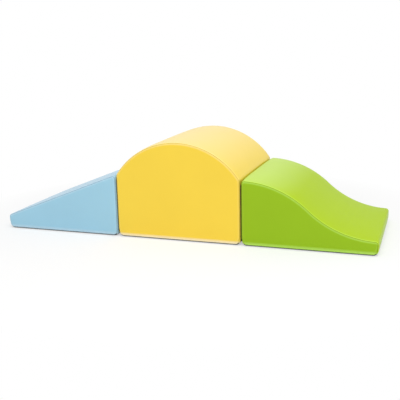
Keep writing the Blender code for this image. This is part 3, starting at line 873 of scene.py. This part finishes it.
def base_cloth_finish():
    """Woven cloth with printed dots, and dust in its weave."""
    material, cloth, place = new_material("base_cloth")
    dots = cloth.add("ShaderNodeTexVoronoi", {"voronoi_dimensions": "2D"}, {
        "Vector": place, "Scale": 1 / DOT_PITCH, "Randomness": 0.0,
    })
    dot = ((DOT_SHARE - dots) * DOT_SHARPNESS).clamped()
    weave = place.axis("X").waves(THREAD_PITCH) * place.axis("Y").waves(THREAD_PITCH)
    dust = (place.noise(*DUST) - DUST_START).clamped() * DUST_SHARE
    tone = cloth.mixed(weave.ranged(*WEAVE_SHADE), BASE_COLOUR, shade(BASE_COLOUR, WEAVE_LIGHT))
    tone = cloth.mixed(dot, tone, DOT_COLOUR)
    tone = cloth.mixed(dust, tone, DUST_COLOUR)
    relief = dot * DOT_HEIGHT + weave * THREAD_HEIGHT
    cloth.surfaced(tone, dot.ranged(*BASE_ROUGHNESS), relief)
    return material


def zip_line(block):
    """How far back the block's zip lies."""
    return (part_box(block + "_zip_tape_front")[0].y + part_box(block + "_zip_tape_back")[1].y) / 2


base_material = base_cloth_finish()
for block in BLOCKS:
    outline, base_end = cover_outline(block)
    panel = strip_panel(outline[:base_end + 1])
    upholster(panel, block, lambda vert: 0.0)
    half_slot = Vector((SLOT_LENGTH / 2, SLOT_WIDTH / 2))
    centre = Vector((BLOCK_MIDDLE[block], zip_line(block)))
    flat = [face for face in panel.faces if face.normal.z < -LEVEL_CLOTH]
    slot_faces = cut_window(panel, flat, centre - half_slot, centre + half_slot)
    bmesh.ops.delete(panel, geom=slot_faces, context="FACES")
    add_panel(block, "base", panel, base_material, "base_cloth")


# Slot stitching. The slot's edges are turned in and sewn through to the zip's tapes with a lockstitch,
# which shows underneath as a row of short stitches along each side.
SLOT_STITCH_PITCH = 0.0036
SLOT_STITCH_LENGTH = 0.0030
SLOT_STITCH_MARGIN = 0.0035
SLOT_THREAD_RADIUS = 0.00024
SLOT_THREAD_COLOUR = (0.10, 0.10, 0.11)
TWIST = (2500.0, 1.0)
TWIST_HEIGHT = 0.00008
TWIST_SHADE = 0.7
SHINY_THREAD = (0.45, 0.2)
STITCH_SIDES = 5


def thread_finish(name, colour):
    """Twisted thread with a slight sheen."""
    material, thread, place = new_material(name)
    twist = place.noise(*TWIST)
    tone = thread.mixed(twist, shade(colour, TWIST_SHADE), colour)
    thread.surfaced(tone, twist.ranged(*SHINY_THREAD), twist * TWIST_HEIGHT)
    return material


def add_rod(bm, at, radius, length, sides):
    """A closed round rod, upright until the matrix places it."""
    bmesh.ops.create_cone(
        bm, cap_ends=True, segments=sides, radius1=radius, radius2=radius, depth=length, matrix=at,
    )


def add_stitch(bm, place, along, outwards, length, radius):
    """One stitch of thread, lying along a direction."""
    turn = Matrix((outwards.cross(along), outwards, along)).transposed().to_4x4()
    add_rod(bm, Matrix.Translation(place) @ turn, radius, length, STITCH_SIDES)


def spaced(path, pitch):
    """Evenly spaced (point, direction) pairs along a path."""
    gone = pitch / 2
    for first, second in zip(path, path[1:]):
        step = (second - first).length
        while gone < step:
            yield first.lerp(second, gone / step), (second - first).normalized()
            gone += pitch
        gone -= step


slot_thread = thread_finish("slot_thread", SLOT_THREAD_COLOUR)
for block in BLOCKS:
    bm = bmesh.new()
    for side in (-1, 1):
        y = zip_line(block) + side * (SLOT_WIDTH / 2 + SLOT_STITCH_MARGIN)
        ends = [Vector((BLOCK_MIDDLE[block] + end * SLOT_LENGTH / 2, y, 0.0)) for end in (-1, 1)]
        for place, along in spaced(ends, SLOT_STITCH_PITCH):
            add_stitch(bm, place, along, Vector((0.0, 0.0, -1.0)), SLOT_STITCH_LENGTH, SLOT_THREAD_RADIUS)
    add_piece(block + "_slot_thread", bm, slot_thread, block, "zip_tape")


# Zip tapes. Each zip hangs on two woven polyester tapes with a herringbone face and a corded inner edge.
# They are sewn inside the slot, and step up into the foam's pocket, so that the slider clears the floor.
TAPE_THICKNESS = 0.0006
TAPE_SEAM_WIDTH = 0.008
TAPE_RISE_RUN = 0.002
TAPE_BEND = 0.0009
TAPE_CORD_RADIUS = 0.0006
TAPE_ROW_LENGTH = 0.006
TAPE_RIPPLE = 0.00015
TAPE_COLOUR = (0.050, 0.050, 0.056)
HERRINGBONE = 0.0016
TAPE_RIB_SHARE = 0.25
TAPE_THREAD_SHARE = 0.15
TAPE_RIB_HEIGHT = 0.00006
TAPE_THREAD_HEIGHT = 0.00003
TAPE_LINT = (900.0, 3.0)
TAPE_LIGHT = 2.2
TAPE_ROUGHNESS = (0.8, 0.15)
TAPE_SHARP = math.radians(50)
CORD_SIDES = 10


def tape_finish():
    """Woven tape: slanted ribs that turn back on themselves every few threads."""
    material, tape, place = new_material("zip_tape")
    y = place.axis("Y")
    ribs = (place.axis("X") + y.math("PINGPONG", y, HERRINGBONE)).waves(HERRINGBONE / 2)
    threads = y.waves(HERRINGBONE / 4)
    lint = place.noise(*TAPE_LINT)
    share = (ribs * TAPE_RIB_SHARE + threads * TAPE_THREAD_SHARE + lint).clamped()
    tone = tape.mixed(share, TAPE_COLOUR, shade(TAPE_COLOUR, TAPE_LIGHT))
    relief = ribs * TAPE_RIB_HEIGHT + threads * TAPE_THREAD_HEIGHT
    tape.surfaced(tone, lint.ranged(*TAPE_ROUGHNESS), relief)
    return material


def zip_tape(block, side, name):
    """The tape's section, drawn out along the slot, bent at its two steps and given its thickness."""
    low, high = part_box(f"{block}_zip_tape_{name}")
    outer, inner = (low.y, high.y) if side < 0 else (high.y, low.y)
    half = TAPE_THICKNESS / 2
    section = [(outer, low.z + half), (outer - side * TAPE_SEAM_WIDTH, low.z + half)]
    section += [(section[1][0] - side * TAPE_RISE_RUN, high.z - half), (inner, high.z - half)]
    bm = bmesh.new()
    verts = [bm.verts.new((low.x, y, z)) for y, z in section]
    edges = [bm.edges.new(pair) for pair in zip(verts, verts[1:])]
    grown = bmesh.ops.extrude_edge_only(bm, edges=edges)["geom"]
    bmesh.ops.translate(bm, verts=verts_of(grown), vec=(high.x - low.x, 0.0, 0.0))
    bends = [edge for edge in bm.edges if len(edge.link_faces) == 2]
    ease(bm, bends, TAPE_BEND, segments=4)
    lengthways = [edge for edge in bm.edges if abs(edge.verts[0].co.x - edge.verts[1].co.x) > half]
    rows = round((high.x - low.x) / TAPE_ROW_LENGTH)
    bmesh.ops.subdivide_edges(bm, edges=lengthways, cuts=rows - 1, use_grid_fill=True)
    bmesh.ops.recalc_face_normals(bm, faces=bm.faces)
    for vert in bm.verts:
        vert.co.z += half + TAPE_RIPPLE * noise.noise(vert.co / TAPE_ROW_LENGTH)
    bmesh.ops.solidify(bm, geom=bm.faces, thickness=TAPE_THICKNESS)
    cord = Matrix.Translation(((low.x + high.x) / 2, inner, high.z - half))
    cord @= Matrix.Rotation(math.pi / 2, 4, "Y")
    add_rod(bm, cord, TAPE_CORD_RADIUS, high.x - low.x, CORD_SIDES)
    return bm


tape_material = tape_finish()
for block in BLOCKS:
    for name, side in SIDES:
        bm = zip_tape(block, side, name)
        tape = add_piece(f"{block}_tape_{name}", bm, tape_material, block, "zip_tape", TAPE_SHARP)
        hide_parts(f"{block}_zip_tape_{name}")


# Zip teeth. Each tooth is moulded onto its tape's corded edge, with a narrow neck and a head that locks
# between the two heads opposite. The two rows are staggered by half a pitch.
TOOTH_PITCH = 0.0026
TOOTH_WIDTH = 0.0018
TOOTH_BODY = 0.0013
TOOTH_NECK_WIDTH = 0.0008
TOOTH_NECK = 0.0008
TOOTH_HEAD_WIDTH = 0.00118
TOOTH_HEAD = 0.0010
TOOTH_EASING = 0.0002
TOOTH_TIP = 0.9
TOOTH_COLOUR = (0.030, 0.030, 0.034)
TOOTH_LIGHT = 1.8
TOOTH_MARKS = (1500.0, 3.0)
TOOTH_MARK_DEPTH = 0.00004
TOOTH_ROUGHNESS = (0.32, 0.2)
TOOTH_SHARP = math.radians(20)


def teeth_finish():
    """Moulded acetal: dark, with a dull gloss and fine moulding marks."""
    material, plastic, place = new_material("zip_teeth")
    marks = place.noise(*TOOTH_MARKS)
    tone = plastic.mixed(marks, TOOTH_COLOUR, shade(TOOTH_COLOUR, TOOTH_LIGHT))
    plastic.surfaced(tone, marks.ranged(*TOOTH_ROUGHNESS), marks * TOOTH_MARK_DEPTH)
    return material


def teeth_row(block, side, name):
    """One tooth, grown from its body through its neck to its head, and repeated along the tape."""
    low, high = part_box(f"{block}_zip_teeth_{name}")
    outer = low.y if side < 0 else high.y
    towards_middle = -side
    bm = bmesh.new()
    bmesh.ops.create_cube(bm, size=1.0)
    bmesh.ops.scale(bm, verts=bm.verts, vec=(TOOTH_WIDTH, TOOTH_BODY, high.z - low.z))
    stagger = TOOTH_PITCH / 2 if side > 0 else 0.0
    start = Vector((low.x + TOOTH_WIDTH / 2 + stagger, 0.0, (low.z + high.z) / 2))
    start.y = outer + towards_middle * TOOTH_BODY / 2
    bmesh.ops.translate(bm, verts=bm.verts, vec=start)
    tip = next(face for face in bm.faces if face.normal.y * towards_middle > TOOTH_TIP)
    width = TOOTH_WIDTH
    for next_width, length in (
        (TOOTH_NECK_WIDTH, TOOTH_EASING), (TOOTH_NECK_WIDTH, TOOTH_NECK),
        (TOOTH_HEAD_WIDTH, TOOTH_EASING), (TOOTH_HEAD_WIDTH, TOOTH_HEAD),
    ):
        tip = bmesh.ops.extrude_discrete_faces(bm, faces=[tip])["faces"][0]
        share = next_width / width
        about = Matrix.Translation((-start.x, 0.0, 0.0))
        bmesh.ops.scale(bm, verts=tip.verts, vec=(share, 1.0, 1.0), space=about)
        bmesh.ops.translate(bm, verts=tip.verts, vec=(0.0, towards_middle * length, 0.0))
        width = next_width
    count = math.floor((high.x - start.x - TOOTH_WIDTH / 2) / TOOTH_PITCH)
    bmesh.ops.spin(
        bm, geom=[*bm.verts, *bm.edges, *bm.faces], cent=start, axis=(0.0, 0.0, 1.0), angle=0.0,
        dvec=(TOOTH_PITCH, 0.0, 0.0), steps=count, use_duplicate=True,
    )
    return bm


teeth_material = teeth_finish()
for block in BLOCKS:
    for name, side in SIDES:
        bm = teeth_row(block, side, name)
        row = add_piece(f"{block}_teeth_row_{name}", bm, teeth_material, block, "zip_teeth", TOOTH_SHARP)
        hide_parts(f"{block}_zip_teeth_{name}")


# Zip metal. The stops are crimped over the tapes' edges, the slider runs on the teeth, and the pull swings
# on the slider's bail. All are nickel-plated zinc castings with tumbled edges. The pull has a ribbed grip.
CRIMP_EASING = 0.00035
SLIDER_EASING = 0.00025
PULL_EASING = 0.00030
SHARP_EDGE = math.radians(30)
RIB_WIDTH = 0.0007
RIB_LENGTH = 0.0048
RIB_HEIGHT = 0.0002
RIB_PITCH = 0.0015
RIB_COUNT = 6
RIB_MARGIN = 0.0032
NICKEL_COLOUR = (0.50, 0.49, 0.47)
NICKEL_LIGHT = 1.35
NICKEL_ROUGHNESS = (0.20, 0.22)
NICKEL_STAINS = (300.0, 3.0)
SCRATCH_STRETCH = (400.0, 6000.0, 6000.0)
SCRATCHES = (1.0, 4.0)
SCRATCH_DEPTH = 0.00001
SAME_FACE_ANGLE = math.radians(1)
METAL_SHARP = math.radians(45)


def nickel_finish():
    """Plated metal, bright where it is handled, with fine scratches."""
    material, metal, place = new_material("zip_metal")
    drawn = metal.add("ShaderNodeMapping", inputs={"Vector": place, "Scale": SCRATCH_STRETCH})
    scratches = drawn.noise(*SCRATCHES)
    tone = metal.mixed(place.noise(*NICKEL_STAINS), NICKEL_COLOUR, shade(NICKEL_COLOUR, NICKEL_LIGHT))
    metal.surfaced(tone, scratches.ranged(*NICKEL_ROUGHNESS), scratches * SCRATCH_DEPTH, {"Metallic": 1.0})
    return material


def tumbled(node, easing):
    """A copy of a CAD piece, with its loose triangles joined into whole faces and its edges rounded."""
    bm = bmesh.new()
    bm.from_mesh(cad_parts[node].data)
    bmesh.ops.remove_doubles(bm, verts=bm.verts, dist=easing / 20)
    bmesh.ops.dissolve_limit(bm, angle_limit=SAME_FACE_ANGLE, verts=bm.verts, edges=bm.edges)
    sharp = [edge for edge in bm.edges if edge.calc_face_angle() > SHARP_EDGE]
    ease(bm, sharp, easing, segments=3, clamp=True)
    return bm


def add_grip_ribs(bm, low, high):
    """Low ribs across both faces of the pull's free end."""
    for step in range(RIB_COUNT):
        x = low.x + RIB_MARGIN + step * RIB_PITCH
        for z in (low.z, high.z):
            made = bmesh.ops.create_cube(bm, size=1.0)["verts"]
            bmesh.ops.scale(bm, verts=made, vec=(RIB_WIDTH, RIB_LENGTH, 2 * RIB_HEIGHT))
            bmesh.ops.translate(bm, verts=made, vec=(x, (low.y + high.y) / 2, z))


nickel_material = nickel_finish()
for block in BLOCKS:
    for name in ("top_stop_front", "top_stop_back", "bottom_stop"):
        bm = tumbled(f"{block}_zip_{name}", CRIMP_EASING)
        stop = add_piece(f"{block}_{name}_crimp", bm, nickel_material, block, "zip_metal", METAL_SHARP)
        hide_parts(f"{block}_zip_{name}")
    slider = block + "_zip_slider"
    bm = tumbled(slider, SLIDER_EASING)
    piece = add_piece(block + "_slider_casting", bm, nickel_material, slider, "zip_metal", METAL_SHARP)
    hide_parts(slider)
    bm = tumbled(block + "_zip_pull", PULL_EASING)
    add_grip_ribs(bm, *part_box(block + "_zip_pull"))
    pull = add_piece(block + "_pull_tab", bm, nickel_material, block + "_zip_pull", "zip_metal", METAL_SHARP)
    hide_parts(block + "_zip_pull")


# Seam thread. Bonded polyester thread closes every seam, and shows as short rungs down in the seam, where
# the two panels' edges part.
THREAD_RADIUS = 0.00028
RUNG_LENGTH = 0.0020
RUNG_DEPTH = 0.0006
BASE_SEAM_END = 0.007
THREAD_DARKENING = 0.8

for block in BLOCKS:
    outline, base_end = cover_outline(block)
    slant = math.sin(math.pi / 4)
    sunk = DRAWN_IN + RUNG_DEPTH
    inset, seam_y = rim_station(-SEAM_GAP / 2, True)
    seam_line = inset_path(outline, inset, closed=True)
    seam_line = [point.to_3d() for point in seam_line + seam_line[:1]]
    bm = bmesh.new()
    for side in (-1, 1):
        for point, along in spaced(seam_line, STITCH_PITCH):
            place = rolled_in(Vector((BLOCK_MIDDLE[block] + point.x, side * seam_y, point.y)), block)
            outwards = Vector((along.y * slant, side * slant, -along.x * slant))
            rung = Vector((along.x, 0.0, along.y)).cross(outwards)
            add_stitch(bm, place - outwards * sunk, rung, outwards, RUNG_LENGTH, THREAD_RADIUS)
    for corner, facing in ((outline[0], -1), (outline[base_end], 1)):
        reach = seam_y - BASE_SEAM_END
        ends = [Vector((BLOCK_MIDDLE[block] + corner.x, side * reach, corner.y)) for side in (-1, 1)]
        outwards = Vector((facing * slant, 0.0, -slant))
        for place, along in spaced(ends, STITCH_PITCH):
            place = rolled_in(place, block) - outwards * sunk
            add_stitch(bm, place, along.cross(outwards), outwards, RUNG_LENGTH, THREAD_RADIUS)
    thread = thread_finish(block + "_thread", shade(SIDE_COLOURS[block], THREAD_DARKENING))
    add_piece(block + "_seam_thread", bm, thread, block, COVER_SLOTS[block])


# Hook and loop strips. They hold the blocks together: hooks on both ends of the middle block, and loops on
# its two neighbours. Each is a woven band with a raised pile field, sewn to the cover along its border.
STRIP_CORNER_RADIUS = 0.006
BAND_THICKNESS = 0.0009
BAND_SINK = 0.0004
PILE_MARGIN = 0.0032
PILE_EASING = 0.0004
PILE_GRID = 0.0030
PILE_LIFT = 0.00012
BORDER_STITCH_MARGIN = 0.0018
BORDER_STITCH_PITCH = 0.0032
BORDER_STITCH_LENGTH = 0.0026
BORDER_THREAD_RADIUS = 0.00022
STRIP_COLOUR = (0.022, 0.022, 0.025)
HOOK_PITCH = 0.0013
HOOK_SHARE = 0.8
FUZZ_SHARE = 0.2
FUZZ = (1400.0, 5.0)
LOOP_START = 0.3
LOOP_SHARPNESS = 1.6
LOOP_SHEEN = 0.25
PILE_LIGHT = 3.5
PILE_ROUGHNESS = (0.75, 0.2)
PILE_DEPTH = 0.0005
STRIP_SHARP = math.radians(40)
STRIPS = [("ramp", "ramp_loop_strip", 1), ("hump", "hump_hook_strip_ramp_side", -1)]
STRIPS += [("hump", "hump_hook_strip_slide_side", 1), ("slide", "slide_loop_strip", -1)]


def pile_finish(name, hooks):
    """The hooks stand in rows. The loops are brushed into a felt."""
    material, pile, place = new_material(name)
    fuzz = place.noise(*FUZZ)
    if hooks:
        rows = place.axis("Y").waves(HOOK_PITCH) * place.axis("Z").waves(HOOK_PITCH)
        standing = rows.clamped() * HOOK_SHARE + fuzz * FUZZ_SHARE
    else:
        standing = (fuzz - LOOP_START).clamped() * LOOP_SHARPNESS
    tone = pile.mixed(standing.clamped(), STRIP_COLOUR, shade(STRIP_COLOUR, PILE_LIGHT))
    sheen = {"Sheen Weight": 0.0 if hooks else LOOP_SHEEN}
    pile.surfaced(tone, fuzz.ranged(*PILE_ROUGHNESS), standing * PILE_DEPTH, sheen)
    return material


def hook_and_loop_strip(low, high, facing):
    """The band's rounded outline, its thickness, the pile field and the stitches of its border."""
    skin = low.x if facing > 0 else high.x
    out = Vector((facing, 0.0, 0.0))
    bm = bmesh.new()
    bmesh.ops.create_grid(bm, x_segments=1, y_segments=1, size=0.5)
    turn = Matrix.Rotation(math.pi / 2 * facing, 4, "Y")
    size = Matrix.Diagonal((1.0, high.y - low.y, high.z - low.z, 1.0))
    middle = Vector((skin - facing * BAND_SINK, (low.y + high.y) / 2, (low.z + high.z) / 2))
    bmesh.ops.transform(bm, matrix=Matrix.Translation(middle) @ size @ turn, verts=bm.verts)
    ease(bm, bm.verts[:], STRIP_CORNER_RADIUS, segments=6, affect="VERTICES")
    top = bm.faces[:]
    back = bmesh.ops.duplicate(bm, geom=top)["geom"]
    bmesh.ops.reverse_faces(bm, faces=[item for item in back if isinstance(item, bmesh.types.BMFace)])
    top = bmesh.ops.extrude_discrete_faces(bm, faces=top)["faces"]
    bmesh.ops.translate(bm, verts=top[0].verts, vec=out * (BAND_THICKNESS + BAND_SINK))
    bmesh.ops.remove_doubles(bm, verts=bm.verts, dist=BAND_SINK / 10)
    bmesh.ops.inset_region(bm, faces=top, thickness=PILE_MARGIN, use_even_offset=True)
    pile = bmesh.ops.extrude_discrete_faces(bm, faces=top)["faces"]
    lift = high.x - low.x - BAND_THICKNESS
    bmesh.ops.translate(bm, verts=pile[0].verts, vec=out * lift)
    ease(bm, pile[0].edges[:], PILE_EASING, segments=2)
    tip = skin + facing * (high.x - low.x)
    field = [face for face in bm.faces if all(abs(vert.co.x - tip) < BAND_SINK / 10 for vert in face.verts)]
    lines = cuts_at(1, lines_between(low.y, high.y, PILE_GRID))
    lines += cuts_at(2, lines_between(low.z, high.z, PILE_GRID))
    for face in cut_lines(bm, field, lines):
        for vert in face.verts:
            vert.co.x = tip - facing * PILE_LIFT * (0.5 + 0.5 * noise.noise(vert.co / PILE_GRID))
    bmesh.ops.recalc_face_normals(bm, faces=bm.faces)
    edge_y = (high.y - low.y) / 2 - BORDER_STITCH_MARGIN
    edge_z = (high.z - low.z) / 2 - BORDER_STITCH_MARGIN
    seat = middle + out * (BAND_THICKNESS + BAND_SINK)
    cut = STRIP_CORNER_RADIUS - BORDER_STITCH_MARGIN
    border = []
    for y, z in ((1, 1), (-1, 1), (-1, -1), (1, -1)):
        near_z = Vector((0.0, y * edge_y, z * (edge_z - cut)))
        near_y = Vector((0.0, y * (edge_y - cut), z * edge_z))
        border += [near_z, near_y] if y * z > 0 else [near_y, near_z]
    border = [seat + point for point in border + border[:1]]
    for place, along in spaced(border, BORDER_STITCH_PITCH):
        add_stitch(bm, place, along, out, BORDER_STITCH_LENGTH, BORDER_THREAD_RADIUS)
    return bm


hook_material = pile_finish("hook_strip", hooks=True)
loop_material = pile_finish("loop_strip", hooks=False)
for block, strip, facing in STRIPS:
    for end in ("front", "back"):
        bm = hook_and_loop_strip(*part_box(f"{strip}_{end}"), facing)
        material = hook_material if "hook" in strip else loop_material
        piece = add_piece(f"{strip}_{end}_sewn", bm, material, block, "hook_and_loop", STRIP_SHARP)
        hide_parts(f"{strip}_{end}")
